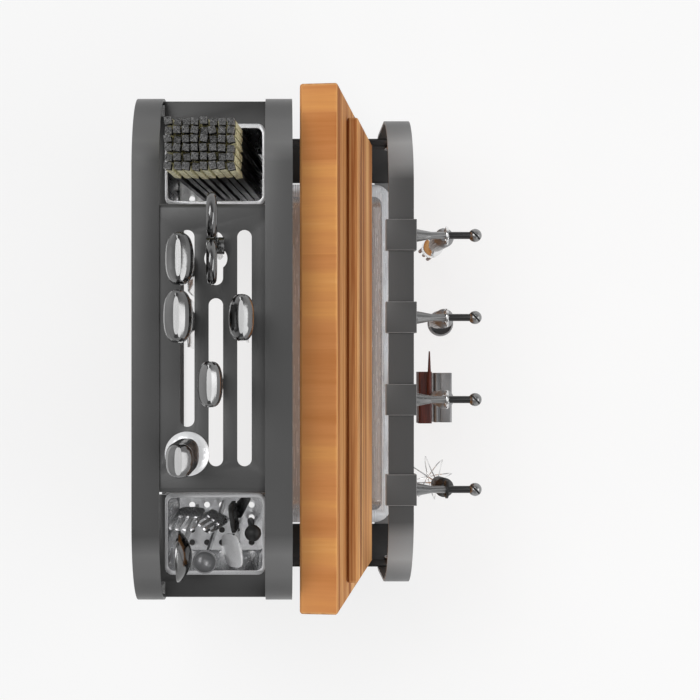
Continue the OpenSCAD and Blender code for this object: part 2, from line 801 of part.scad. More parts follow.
module brush_bristles() {
  bristle_r = 1.7;
  step = 3.6;
  color("saddlebrown") at_tool(1) translate([0, 0, brush_top - ferrule_h - bristle_l])
    for (i = [-2 : 2], j = [-2 : 2])
      if (norm([i, j]) * step + bristle_r < ferrule_r)
        translate([i * step, j * step, 0]) cylinder(r = bristle_r, h = bristle_l, $fn = 12);
}

module ladle() {
  bowl_r = 12;
  bowl_z = 44;
  shell = 1;
  neck = 44;
  color("silver") at_tool(2) {
    eye_handle(bowl_z + bowl_r - 2, 7);
    round_grip(bowl_z + bowl_r + neck);
    translate([0, -bowl_r + shell + tool_t / 2, bowl_z]) difference() {
      sphere(bowl_r);
      sphere(bowl_r - shell);
      translate([0, 0, 2 * bowl_r + bowl_r * 0.35]) cube(4 * bowl_r, center = true);
    }
    translate([0, 0, bowl_z + 2]) along_y(-tool_t / 2, tool_t / 2) translate([-3.5, 0]) square([7, bowl_r]);
  }
}

scraper_w = 45;
scraper_z0 = 50;
scraper_z1 = 78;

// Steel block with a groove across its top, on a flat stem with a round grip
module scraper_blade() {
  neck = 24;
  front = 17;
  groove = 3;
  color("silver") at_tool(3) {
    eye_handle(scraper_z0, 7);
    round_grip(scraper_z1 + neck);
    difference() {
      along_x(-scraper_w / 2, scraper_w / 2) translate([-(front + tool_t / 2) / 2, scraper_z0])
        round_rect(front - tool_t / 2, scraper_z1 - scraper_z0, 2);
      block([-scraper_w, -tool_t / 2 - 2 * groove, scraper_z1 - groove],
        [scraper_w, -tool_t / 2 - groove, scraper_z1 + over]);
    }
  }
}

// Wooden block behind the stem, with a tapered pick that points along the rack
module scraper_grip() {
  depth = 12;
  pick_l = 42;
  pick_r = 2.6;
  color("maroon") at_tool(3) {
    along_x(-scraper_w / 2 - 1, scraper_w / 2 + 1)
      translate([tool_t / 2 + edge + depth / 2, scraper_z0]) round_rect(depth, scraper_z1 - scraper_z0, 2);
    translate([0, tool_t / 2 + edge + pick_r, scraper_z1 + pick_r / 2]) rotate([0, 90, 0])
      cylinder(r1 = pick_r, r2 = pick_r / 4, h = pick_l);
  }
}

whisk_R = 20;
wire_r = 0.6;
whisk_z0 = 28;
whisk_neck = 104;

module whisk_grip() {
  neck = 10;
  color("black") at_tool(4) {
    eye_handle(hole_z - 30, 8);
    translate([0, 0, whisk_neck]) cylinder(r = grip_r * 0.45, h = neck);
    round_grip(whisk_neck + neck);
  }
}

// Wire loops: two tapering runs and a half circle between them, each loop a little shorter than the last
module whisk_wires() {
  loops = 4;
  drop = 1.6;
  neck_spread = 2.5;
  color("silver") at_tool(4) for (k = [0 : loops - 1]) rotate([0, 0, k * 180 / loops + 12]) {
    bend_z = whisk_z0 + whisk_R + k * drop;
    run = whisk_neck - bend_z;
    lean = atan((whisk_R - neck_spread) / run);
    rise = wire_r * sin(lean) + edge;
    translate([0, 0, bend_z]) rotate([90, 0, 0]) rotate_extrude(angle = -180) translate([whisk_R, 0]) circle(wire_r);
    for (s = [-1, 1]) translate([s * whisk_R, 0, bend_z + rise]) rotate([0, -s * lean, 0])
      cylinder(r = wire_r, h = (run - rise - 2 * edge) / cos(lean));
  }
}

// ---------- Nodes ----------

rear_loop();
middle_loop();
front_loop();
knife_plate();
basket_holder(-1);  // basket_holder_left
basket_holder(1);  // basket_holder_right
base_plate(-1);  // base_plate_left
base_plate(1);  // base_plate_right
rubber_feet();
holder_screws();
base_screws();
drip_tray();
cutlery_basket();
chopstick_basket();
chopsticks();
table_fork();
dessert_fork();
serving_spoon();
small_ladle();
peeler();
cake_server();
bulb_brush();
cutting_board();
thin_board();
knife_blade(0);  // knife_1_blade
knife_handle(0);  // knife_1_handle
knife_blade(1);  // knife_2_blade
knife_handle(1);  // knife_2_handle
knife_blade(2);  // knife_3_blade
knife_handle(2);  // knife_3_handle
knife_blade(3);  // knife_4_blade
knife_handle(3);  // knife_4_handle
scissors_left_half();
scissors_right_half();
scissors_pivot();
steel_rod();
steel_guard();
steel_grip();
hook_clip(1);  // hook_clip_1
hook_clip(2);  // hook_clip_2
hook_clip(3);  // hook_clip_3
hook_clip(4);  // hook_clip_4
hook_arm(1);  // hook_arm_1
hook_arm(2);  // hook_arm_2
hook_arm(3);  // hook_arm_3
hook_arm(4);  // hook_arm_4
brush_handle();
brush_ferrule();
brush_bristles();
ladle();
scraper_blade();
scraper_grip();
whisk_grip();
whisk_wires();
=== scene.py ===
"""Looks of the kitchen rack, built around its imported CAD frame.

X runs along the rack, -Y is its front, and Z = 0 is the counter. Sizes of shapes are in millimetres
until a mesh is made, and MM turns them into metres. Lamps and camera are placed in metres.
"""

import json
import math
import random

import bmesh
import bpy
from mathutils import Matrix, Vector


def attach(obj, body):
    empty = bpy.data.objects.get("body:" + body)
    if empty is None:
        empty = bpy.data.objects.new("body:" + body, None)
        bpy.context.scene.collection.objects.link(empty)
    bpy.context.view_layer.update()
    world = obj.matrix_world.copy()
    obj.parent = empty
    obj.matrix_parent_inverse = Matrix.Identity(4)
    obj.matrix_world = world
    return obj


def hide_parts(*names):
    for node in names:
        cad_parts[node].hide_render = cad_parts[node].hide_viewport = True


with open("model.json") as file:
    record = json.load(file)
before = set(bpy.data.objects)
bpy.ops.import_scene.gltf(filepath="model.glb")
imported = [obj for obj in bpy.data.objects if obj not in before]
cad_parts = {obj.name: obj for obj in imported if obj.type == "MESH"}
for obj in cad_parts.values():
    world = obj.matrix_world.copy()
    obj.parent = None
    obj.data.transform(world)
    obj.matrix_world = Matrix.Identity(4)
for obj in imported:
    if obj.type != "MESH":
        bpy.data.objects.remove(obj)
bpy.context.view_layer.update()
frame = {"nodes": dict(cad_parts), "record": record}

MM = 0.001
NODES = frame["nodes"]
BODY_OF = {node: body for body, nodes in frame["record"]["behaviour"]["bodies"].items() for node in nodes}
SLOT_OF = {node: NODES[node].data.materials[0].name for node in NODES}
BOARD_LEAN = math.radians(8)
STICK_LEAN = math.radians(5)

# ---------- Shader helpers ----------

def srgb(red, green, blue):
    """A screen colour from 0 to 255 as linear numbers with full alpha."""
    def linear(value):
        value /= 255
        return value / 12.92 if value <= 0.04045 else ((value + 0.055) / 1.055) ** 2.4
    return (linear(red), linear(green), linear(blue), 1.0)


def grey(value):
    return srgb(value, value, value)


def fill_ramp(node, stops):
    """Gives a colour ramp node its (position, colour) stops."""
    elements = node.color_ramp.elements
    while len(elements) < len(stops):
        elements.new(0.5)
    for element, (position, colour) in zip(elements, stops):
        element.position = position
        element.color = colour


class Finish:
    """A material under construction, with short calls for the nodes it needs."""

    def __init__(self, name, **sockets):
        self.material = bpy.data.materials.new(name)
        self.material.use_nodes = True
        self.tree = self.material.node_tree
        self.bsdf = self.tree.nodes["Principled BSDF"]
        for socket, value in sockets.items():
            label = socket.replace("_", " ").title().replace("Ior", "IOR")
            self.bsdf.inputs[label].default_value = value

    def add(self, kind, inputs=None, **settings):
        node = self.tree.nodes.new("ShaderNode" + kind)
        for name, value in settings.items():
            setattr(node, name, value)
        for name, value in (inputs or {}).items():
            self.feed(node.inputs[name], value)
        return node

    def feed(self, socket, value):
        if isinstance(value, bpy.types.NodeSocket):
            self.tree.links.new(value, socket)
        else:
            socket.default_value = value

    def turned(self, kind, turn):
        """Coordinates of a kind, such as Object or Normal, turned by three angles."""
        vector = self.add("TexCoord").outputs[kind]
        return self.add("VectorRotate", {"Vector": vector, "Rotation": turn},
                        rotation_type="EULER_XYZ").outputs[0]

    def place(self, scale=(1, 1, 1), turn=(0, 0, 0)):
        """Object coordinates in metres, turned and then scaled along each axis."""
        return self.add("Mapping", {"Vector": self.turned("Object", turn),
                                    "Scale": scale}).outputs["Vector"]

    def part_of(self, vector, axis):
        return self.add("SeparateXYZ", {"Vector": vector}).outputs[axis]

    def noise(self, vector, scale, detail=3.0, roughness=0.5):
        return self.add("TexNoise", {"Vector": vector, "Scale": scale, "Detail": detail,
                                     "Roughness": roughness}).outputs["Fac"]

    def math(self, operation, first, second=0.0):
        return self.add("Math", {0: first, 1: second}, operation=operation).outputs[0]

    def sum_of(self, *terms):
        """The sum of (value, weight) terms."""
        total, *others = [self.math("MULTIPLY", value, weight) for value, weight in terms]
        for other in others:
            total = self.math("ADD", total, other)
        return total

    def ramp(self, factor, *stops):
        """A colour ramp through (position, colour) stops."""
        node = self.add("ValToRGB", {"Fac": factor})
        fill_ramp(node, stops)
        return node.outputs["Color"]

    def span(self, value, low, high, start=0.0, end=1.0):
        """A value between start and end stretched to run from low to high."""
        return self.add("MapRange", {"Value": value, "From Min": start, "From Max": end,
                                     "To Min": low, "To Max": high}).outputs["Result"]

    def blend(self, factor, first, second):
        """The first colour where the factor is 0, the second where it is 1."""
        node = self.add("Mix", data_type="RGBA")
        self.feed(node.inputs[0], factor)
        self.feed(node.inputs[6], first)
        self.feed(node.inputs[7], second)
        return node.outputs[2]

    def colour(self, value):
        self.feed(self.bsdf.inputs["Base Color"], value)

    def roughness(self, value):
        self.feed(self.bsdf.inputs["Roughness"], value)

    def bump(self, height, depth):
        """Relief of the given depth in millimetres."""
        node = self.add("Bump", {"Height": height, "Distance": depth * MM})
        self.tree.links.new(node.outputs["Normal"], self.bsdf.inputs["Normal"])


# ---------- Materials ----------

def powder_coat(finish, vector, tone, speck, share, roughness):
    """Gives a finish the specks and the orange peel of satin powder coat, and returns its material."""
    speckle = finish.noise(vector, 2200, 2)
    finish.colour(finish.blend(finish.span(speckle, 0.0, share), tone, grey(speck)))
    finish.roughness(finish.span(finish.noise(vector, 60, 5), roughness - 0.06, roughness + 0.06))
    finish.bump(finish.noise(vector, 900, 2), 0.05)
    return finish.material


def coated_steel(name, dark, light, roughness, specular=0.5):
    """Satin powder coat with slow changes of tone."""
    finish = Finish(name, metallic=0.0, specular_ior_level=specular)
    vector = finish.place()
    tone = finish.ramp(finish.noise(vector, 14, 4), (0.3, grey(dark)), (0.7, grey(light)))
    return powder_coat(finish, vector, tone, light + 10, 0.3, roughness)


def coat_with_painted_bend_light(name, bend_light_tones, roughness):
    """Satin powder coat on bent strip, with painted light and shade: each (share, tone) is the grey
    painted where the strip has turned so far from level, which is 0, to upright, which is 1."""
    finish = Finish(name, metallic=0.0, specular_ior_level=0.4)
    vector = finish.place()
    turned = finish.math("ABSOLUTE", finish.part_of(finish.add("TexCoord").outputs["Normal"], 0))
    drift = finish.span(finish.noise(vector, 18, 3), -0.05, 0.05)
    stops = [(share, grey(tone)) for share, tone in bend_light_tones]
    tone = finish.ramp(finish.math("ADD", turned, drift), *stops)
    return powder_coat(finish, vector, tone, bend_light_tones[0][1] + 12, 0.2, roughness)


def polished_steel(name, tone, roughness, shades=12, stretch=(1, 1, 0.08)):
    """Bright steel with faint clouding and fine wiping marks along the stretched direction."""
    finish = Finish(name, metallic=1.0)
    clouds = finish.noise(finish.place(), 30, 4)
    marks = finish.noise(finish.place(stretch), 700, 3)
    finish.colour(finish.ramp(clouds, (0.25, grey(tone - shades)), (0.75, grey(tone + shades))))
    finish.roughness(finish.span(marks, roughness * 0.5, roughness * 1.6))
    finish.bump(marks, 0.01)
    return finish.material


def brushed_steel(name, tone, roughness, stretch, metallic=1.0, cool=0):
    """Satin steel with grinding lines along the stretched direction; its red loses as many levels as cool
    says, and its green half as many."""
    finish = Finish(name, metallic=metallic)
    lines = finish.noise(finish.place(stretch), 1400, 3)
    patches = finish.noise(finish.place(), 22, 3)
    shade = finish.blend(finish.span(patches, 0.1, 0.6), grey(tone - 14),
                         srgb(tone + 4 - cool, tone + 5 - cool / 2, tone + 9))
    finish.colour(finish.blend(finish.span(lines, 0.0, 0.3), shade, grey(tone - 40)))
    finish.roughness(finish.span(lines, roughness - 0.1, roughness + 0.12))
    finish.bump(lines, 0.02)
    return finish.material


BOARD_TURN = (-BOARD_LEAN, 0, 0)
BLOCKS_PER_METRE = 27.0


def banded_edge(finish, lines, bands):
    """The colour of a board's upright edge: blocks of changing tone, with fine lines across the edge."""
    along = finish.place((1, 0.02, 0.02), BOARD_TURN)
    blocks = finish.math("FLOOR", finish.math("MULTIPLY", finish.part_of(along, 0), BLOCKS_PER_METRE))
    block_tone = finish.add("TexWhiteNoise", {"W": blocks}, noise_dimensions="1D").outputs["Value"]
    drift = finish.span(finish.noise(along, 30, 3), 0.0, 1.0, 0.3, 0.7)
    level = finish.sum_of((block_tone, 0.26), (drift, 0.6), (finish.math("SUBTRACT", lines, 0.42), 0.3))
    return finish.ramp(level, *zip((0.05, 0.4, 0.62, 0.9), bands))


def board_wood(name, streaks, rear_rounding_shade, bands=None):
    """Oiled board: long streaks on its broad faces, quiet ends, a painted highlight on its roundings, a
    rear rounding in a colour of its own as painted shade and, if given, bands across its upright edge."""
    finish = Finish(name, specular_ior_level=0.04)
    normal = finish.turned("Normal", BOARD_TURN)
    lines = finish.noise(finish.place((1, 0.05, 0.05), BOARD_TURN), 420, 3)
    fibre = finish.noise(finish.place((0.008, 1, 0.2), BOARD_TURN), 150, 5, 0.66)
    fine = finish.noise(finish.place((0.02, 1, 1), BOARD_TURN), 900, 3)
    wood = finish.ramp(finish.sum_of((fibre, 0.8), (fine, 0.2)), *zip((0.38, 0.46, 0.52, 0.6), streaks))
    ends = finish.span(finish.math("ABSOLUTE", finish.part_of(normal, 0)), 0.0, 0.72, 0.6, 0.9)
    wood = finish.blend(ends, wood, finish.blend(fine, streaks[0], streaks[2]))
    upright = finish.span(finish.part_of(normal, 2), 0.0, 1.0, 0.72, 0.96)
    if bands:
        wood = finish.blend(upright, wood, banded_edge(finish, lines, bands))
    # Painted highlight on the roundings between the broad faces and the upright edge.
    rounding = finish.math("MULTIPLY", upright, finish.math("SUBTRACT", 1.0, upright))
    wood = finish.blend(finish.math("MULTIPLY", rounding, 2.4), wood, LIGHT_WOOD)
    # Painted shade on the rounding towards the rear.
    rearward = finish.part_of(normal, 1)
    rear = finish.math("MULTIPLY", finish.span(rearward, 0.0, 1.0, 0.12, 0.7),
                       finish.span(rearward, 1.0, 0.0, 0.86, 0.97))
    finish.colour(finish.blend(rear, wood, rear_rounding_shade))
    finish.roughness(finish.span(fibre, 0.55, 0.75))
    finish.bump(finish.blend(upright, fibre, lines), 0.08)
    return finish.material


def lacquer(name, tone, roughness):
    """Black lacquer with a faint brown drift and fine dust marks."""
    finish = Finish(name, coat_weight=0.3, coat_roughness=0.2, specular_ior_level=0.3)
    vector = finish.place()
    drift = finish.noise(vector, 35, 3)
    finish.colour(finish.ramp(drift, (0.3, srgb(tone, tone - 2, tone - 3)),
                              (0.75, srgb(tone + 12, tone + 7, tone + 5))))
    finish.roughness(finish.span(finish.noise(vector, 400, 3), roughness - 0.08, roughness + 0.1))
    finish.bump(finish.noise(vector, 1200, 2), 0.02)
    return finish.material


def moulded_plastic(name, tone, roughness):
    """Matte moulded plastic with a fine spark-eroded grain."""
    finish = Finish(name, specular_ior_level=0.4)
    vector = finish.place()
    finish.colour(finish.ramp(finish.noise(vector, 60, 3), (0.3, grey(tone)), (0.7, grey(tone + 10))))
    finish.roughness(finish.span(finish.noise(vector, 260, 3), roughness - 0.08, roughness + 0.1))
    finish.bump(finish.noise(vector, 1900, 2), 0.04)
    return finish.material


def carved_metal(name, light, dark, metallic, grain):
    """Chased pewter or worn leaf: speckled light and dark with a hammered relief."""
    finish = Finish(name, metallic=metallic)
    vector = finish.place()
    flakes = finish.noise(vector, grain, 4)
    finish.colour(finish.ramp(flakes, (0.34, dark), (0.58, light)))
    finish.roughness(finish.span(finish.noise(vector, 700, 2), 0.3, 0.6))
    finish.bump(flakes, 0.1)
    return finish.material


def bristle_fibre(name, light, dark):
    """Fibres whose tone changes from strand to strand."""
    finish = Finish(name, sheen_weight=0.2)
    strands = finish.noise(finish.place((1, 1, 0.05)), 900, 2)
    finish.colour(finish.ramp(strands, (0.3, dark), (0.7, light)))
    finish.roughness(finish.span(strands, 0.45, 0.75))
    finish.bump(strands, 0.08)
    return finish.material


def stained_wood(name, light, dark):
    """Dark stained hardwood with lengthwise grain."""
    finish = Finish(name, specular_ior_level=0.4)
    streaks = finish.noise(finish.place((0.08, 1, 1)), 700, 4)
    finish.colour(finish.ramp(streaks, (0.3, dark), (0.7, light)))
    finish.roughness(finish.span(streaks, 0.34, 0.56))
    finish.bump(streaks, 0.08)
    return finish.material


LIGHT_WOOD = srgb(226, 176, 118)
THICK_STREAKS = (srgb(140, 84, 42), srgb(172, 112, 64), srgb(198, 142, 88), srgb(224, 174, 120))
THICK_BANDS = (srgb(172, 104, 54), srgb(198, 132, 80), srgb(214, 152, 88), srgb(230, 182, 124))
THIN_STREAKS = (srgb(148, 90, 48), srgb(182, 120, 72), srgb(212, 156, 102), LIGHT_WOOD)
# Painted light and shade of each loop: lighter on its bends, darker where it stands upright, and set loop
# by loop for the light each loop gets.
REAR_BEND_LIGHT = ((0.0, 60), (0.1, 64), (0.34, 106), (0.62, 94), (0.9, 44))
MIDDLE_BEND_LIGHT = ((0.0, 69), (0.1, 72), (0.34, 110), (0.62, 96), (0.9, 44))
FRONT_BEND_LIGHT = ((0.0, 62), (0.1, 68), (0.3, 128), (0.6, 156), (0.95, 60))

# The usual finish of each slot of the frame
FINISHES = {
    "frame_paint": coat_with_painted_bend_light("loop_coat", REAR_BEND_LIGHT, 0.36),
    "plate_paint": coated_steel("plate_coat", 58, 68, 0.42),
    "hook_paint": coated_steel("clip_coat", 58, 66, 0.36),
    "foot_rubber": moulded_plastic("foot_rubber_grain", 34, 0.78),
    "screw_steel": polished_steel("screw_chrome", 205, 0.2),
    # Tray steel painted near white and cool: painted light in the shade between the boards and the front
    # loop, tinted against the boards' warm reflection.
    "tray_steel": brushed_steel("tray_brushed_painted_light", 246, 0.24, (0.03, 1, 1), 0.6, 18),
    "stainless": polished_steel("steel_polished", 232, 0.12),
    "lacquer": lacquer("stick_lacquer", 14, 0.36),
    "black_plastic": moulded_plastic("grip_plastic", 20, 0.5),
    # The third colour of each board is the painted shade on its rear rounding.
    "board_wood": board_wood("board_oiled", THICK_STREAKS, srgb(206, 140, 82), THICK_BANDS),
    "thin_board_wood": board_wood("thin_board_oiled", THIN_STREAKS, srgb(120, 66, 32)),
    "bristle": bristle_fibre("bristle_fibres", srgb(150, 92, 58), srgb(72, 38, 24)),
    "red_block": stained_wood("stained_block", srgb(96, 40, 30), srgb(52, 20, 18)),
}

# Finishes for pieces and places that differ from the rest of their slot
# Lighter coat on the rounded edges, as a painted highlight.
EDGE_HIGHLIGHT_COAT = coated_steel("edge_highlight_coat", 108, 128, 0.3)
# Near-black coat as painted shade, on the base plates and in the balls' slots.
PAINTED_SHADE_COAT = coated_steel("painted_shade_coat", 26, 34, 0.4, 0.35)
ARM_COAT = coated_steel("arm_coat", 20, 28, 0.3)
MIDDLE_LOOP_PAINTED_LIGHT_COAT = coat_with_painted_bend_light("middle_loop_coat", MIDDLE_BEND_LIGHT, 0.36)
FRONT_LOOP_PAINTED_LIGHT_COAT = coat_with_painted_bend_light("front_loop_coat", FRONT_BEND_LIGHT, 0.36)
# Coat of the basket holders, darker than the plate's as painted shade.
SHADED_HOLDER_COAT = coated_steel("holder_coat_painted_shade", 42, 50, 0.42)
GUN_METAL = polished_steel("ball_gun_metal", 146, 0.3, 14, (1, 0.04, 1))
# Basket walls and floor painted brighter than the rim, as painted light against the shade deep inside the
# baskets.
PAINTED_LIGHT_FLOOR_STEEL = brushed_steel("basket_floor_speckled_painted_light", 246, 0.3, (1, 1, 1))
PAINTED_LIGHT_WALL_STEEL = brushed_steel("basket_wall_brushed_painted_light", 246, 0.28, (1, 1, 0.03))
RIM_STEEL = brushed_steel("basket_rim_brushed", 202, 0.3, (1, 1, 0.2), 0.8)
FORK_STEEL = brushed_steel("fork_satin", 222, 0.26, (1, 1, 0.05), 0.8)
# Steel painted near white and little metallic, as a painted reflection on the honing steel's guard and the
# cake server's top.
PALE_PAINTED_REFLECTION_STEEL = brushed_steel("pale_steel_painted_reflection", 246, 0.3, (1, 0.05, 1), 0.3)
CAP_METAL = carved_metal("stick_cap_pewter", grey(186), grey(158), 0.8, 500)
LEAF = carved_metal("stick_leaf", srgb(226, 222, 184), srgb(138, 130, 90), 0.1, 420)
# Polished steel painted dark, as painted shade and dark reflection, on the grips' sides, the scissors and
# the serving spoon.
PAINTED_SHADE_STEEL = polished_steel("grip_steel_painted_shade", 112, 0.14, 18)
# Brighter steel on the grips' flat tops, as a painted highlight.
CROWN_HIGHLIGHT_STEEL = polished_steel("crown_painted_highlight", 186, 0.24, 10, (0.03, 1, 1))
# Dull steel for the hanging tools, also used as painted shade inside the small ladle's cup.
DULL_AND_SHADED_STEEL = brushed_steel("tool_dull_steel_and_shade", 146, 0.32, (1, 1, 0.05), 0.5)


# ---------- Mesh helpers ----------

SOFT_ANGLE = 32                   # degrees between faces, up to which they are shaded as one
BEVEL_ANGLE = math.radians(35)    # from which an edge is rounded
FLAT_ANGLE = math.radians(0.6)    # up to which faces of the CAD mesh are joined
HIGHLIGHT_SLOT = 1                     # place of the painted edge highlight among a piece's materials


def body_and_slot(piece, node, *more):
    """The piece rides where the node does and stands for it."""
    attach(piece, BODY_OF[node])
    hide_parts(node, *more)
    return piece


def extent(node):
    """Lowest and highest corner of a node in millimetres."""
    shape = NODES[node]
    corners = [shape.matrix_world @ vertex.co / MM for vertex in shape.data.vertices]
    low = Vector([min(corner[axis] for corner in corners) for axis in range(3)])
    high = Vector([max(corner[axis] for corner in corners) for axis in range(3)])
    return low, high


def new_object(name, data):
    """An object in the scene for a mesh, a lamp or a camera."""
    piece = bpy.data.objects.new(name, data)
    bpy.context.scene.collection.objects.link(piece)
    return piece


def smooth(mesh, angle=SOFT_ANGLE):
    """Shades the faces as one wherever they meet at less than the angle."""
    mesh.polygons.foreach_set("use_smooth", [True] * len(mesh.polygons))
    mesh.set_sharp_from_angle(angle=math.radians(angle))


def bake_modifiers(piece):
    """Turns the piece's modifiers into its mesh."""
    evaluated = piece.evaluated_get(bpy.context.evaluated_depsgraph_get())
    piece.data = bpy.data.meshes.new_from_object(evaluated)
    piece.modifiers.clear()


def round_edges(piece, width, segments, edge_highlight):
    """Rounds the sharp edges by a width in millimetres; the flag after segments gives the roundings a
    lighter coat as a painted highlight.
    """
    bevel = piece.modifiers.new("edges", "BEVEL")
    bevel.width = width * MM
    bevel.segments = segments
    bevel.limit_method = "ANGLE"
    bevel.angle_limit = BEVEL_ANGLE
    bevel.use_clamp_overlap = True
    if edge_highlight:
        bevel.material = HIGHLIGHT_SLOT
    bake_modifiers(piece)


def clean_copy(node):
    """The node's own shape as a new mesh, with its flat faces whole again."""
    mesh = NODES[node].data.copy()
    shape = bmesh.new()
    shape.from_mesh(mesh)
    bmesh.ops.remove_doubles(shape, verts=shape.verts, dist=2e-6)
    bmesh.ops.dissolve_limit(shape, angle_limit=FLAT_ANGLE, verts=shape.verts, edges=shape.edges)
    shape.to_mesh(mesh)
    shape.free()
    if mesh.has_custom_normals:
        mesh.attributes.remove(mesh.attributes["custom_normal"])
    return mesh


def dressed(node, finish=None, edge=0.3, segments=2, edge_highlight=False):
    """The node's own shape with its finish, and with edges rounded by a width in millimetres."""
    mesh = clean_copy(node)
    mesh.materials.clear()
    mesh.materials.append(finish or FINISHES[SLOT_OF[node]])
    piece = new_object(node + "_finished", mesh)
    if edge_highlight:
        mesh.materials.append(EDGE_HIGHLIGHT_COAT)
    round_edges(piece, edge, segments, edge_highlight)
    smooth(piece.data)
    return body_and_slot(piece, node)


def repaint(piece, material, chosen):
    """Gives the faces whose centre (in millimetres) and normal pass the test another material."""
    piece.data.materials.append(material)
    last = len(piece.data.materials) - 1
    for face in piece.data.polygons:
        if chosen(face.center / MM, face.normal):
            face.material_index = last


def cut_across(piece, normal, level):
    """Splits the faces of a piece at a plane across a normal, at a level in millimetres."""
    shape = bmesh.new()
    shape.from_mesh(piece.data)
    bmesh.ops.bisect_plane(shape, geom=shape.verts[:] + shape.edges[:] + shape.faces[:], dist=1e-6,
                           plane_co=Vector(normal) * (level * MM), plane_no=normal)
    shape.to_mesh(piece.data)
    shape.free()


class Shape:
    """Vertices in millimetres and painted faces gathered for one mesh."""

    def __init__(self):
        self.points = []
        self.faces = []
        self.paints = []

    def ring(self, points):
        start = len(self.points)
        self.points.extend(Vector(point) for point in points)
        return list(range(start, len(self.points)))

    def face(self, corners, paint):
        self.faces.append(corners)
        self.paints.append(paint)

    def skin(self, rings, paints):
        """Skin through rings of equal length, closed at its foot and open at its top, with one paint for
        each gap between rings. Returns the corners of its top."""
        indices = [self.ring(ring) for ring in rings]
        count = len(indices[0])
        for low, high, paint in zip(indices, indices[1:], paints):
            for k in range(count):
                turn = (k + 1) % count
                self.face((low[k], low[turn], high[turn], high[k]), paint)
        self.face(tuple(reversed(indices[0])), paints[0])
        return indices[-1]

    def handle(self, rings):
        """Closed skin through rings, in the first material, with its top face in the second."""
        top = self.skin(rings, [0] * (len(rings) - 1))
        self.face(tuple(top), 1)

    def build(self, name, materials, angle):
        mesh = bpy.data.meshes.new(name)
        mesh.from_pydata([point * MM for point in self.points], [], self.faces)
        mesh.polygons.foreach_set("material_index", self.paints)
        for material in materials:
            mesh.materials.append(material)
        smooth(mesh, angle)
        return new_object(name, mesh)


OVAL_POINTS = 40
OVAL_POWER = 2 / 2.6     # 1 gives an ellipse, and less comes nearer to a rectangle


def oval(centre, z, width, depth):
    """Level ring between an ellipse and a rectangle."""
    ring = []
    for k in range(OVAL_POINTS):
        angle = 2 * math.pi * k / OVAL_POINTS
        across = math.copysign(abs(math.cos(angle)) ** OVAL_POWER, math.cos(angle))
        ahead = math.copysign(abs(math.sin(angle)) ** OVAL_POWER, math.sin(angle))
        ring.append((centre[0] + across * width / 2, centre[1] + ahead * depth / 2, z))
    return ring


# ---------- Frame ----------

for name, coat in (("rear_loop", None), ("middle_loop", MIDDLE_LOOP_PAINTED_LIGHT_COAT), ("front_loop", FRONT_LOOP_PAINTED_LIGHT_COAT)):
    dressed(name, coat, edge=0.4, segments=3, edge_highlight=True)
dressed("knife_plate")
for name in ("basket_holder_left", "basket_holder_right"):
    dressed(name, SHADED_HOLDER_COAT, edge_highlight=True)
# The base plates take painted shade.
for name in ("base_plate_left", "base_plate_right"):
    dressed(name, PAINTED_SHADE_COAT)
for name in ("rubber_feet", "holder_screws", "base_screws"):
    dressed(name)

# ---------- Baskets and tray ----------

RIM_BAND = 2.5           # height of the rim, and of the floor with its hollows


def basket(node):
    """Deep basket: brushed walls and a speckled floor, painted brighter than the rim as painted light
    against the shade deep inside.
    """
    low, high = extent(node)
    piece = dressed(node, RIM_STEEL, edge=0.35, segments=3)
    repaint(piece, PAINTED_LIGHT_WALL_STEEL, lambda centre, normal: abs(normal.z) < 0.5 and centre.z < high.z - RIM_BAND)
    repaint(piece, PAINTED_LIGHT_FLOOR_STEEL, lambda centre, normal: normal.z > 0.9 and centre.z < low.z + RIM_BAND)


for name in ("cutlery_basket", "chopstick_basket"):
    basket(name)
dressed("drip_tray", edge=0.35, segments=3)

# ---------- Chopsticks ----------

STICK_COLUMNS = 6
STICK_ROWS = 8
STICK_STEP = 6.6
STICK_SHIFT = 0.2        # of each stick in its cell, towards -X and -Y
STICK_WANDER = 0.3       # of each stick within its cell, to each side
STICK_TWIST = 12         # degrees, to each side
STICK_DROPS = (0, 0, 1, 2, 4, 6)
STICK_SIDE = 4.9
STICK_TIP = 4.2
LEAF_H = 46.0
NECK_INSET = 1.2
COLLAR_H = 6.5
CAP_H = 4.0
CAP_HOLLOW = 2.6
TOP_ROOM = 2             # between the highest stick and the top of its solid
LACQUER_PAINT, LEAF_PAINT, CAP_PAINT = range(3)


def square(centre, side, z, turn):
    """Level square ring turned about its centre, starting at its -X, -Y corner."""
    ring = []
    for k in range(4):
        angle = turn + math.radians(225 + 90 * k)
        ring.append((centre[0] + side / math.sqrt(2) * math.cos(angle),
                     centre[1] + side / math.sqrt(2) * math.sin(angle), z))
    return ring


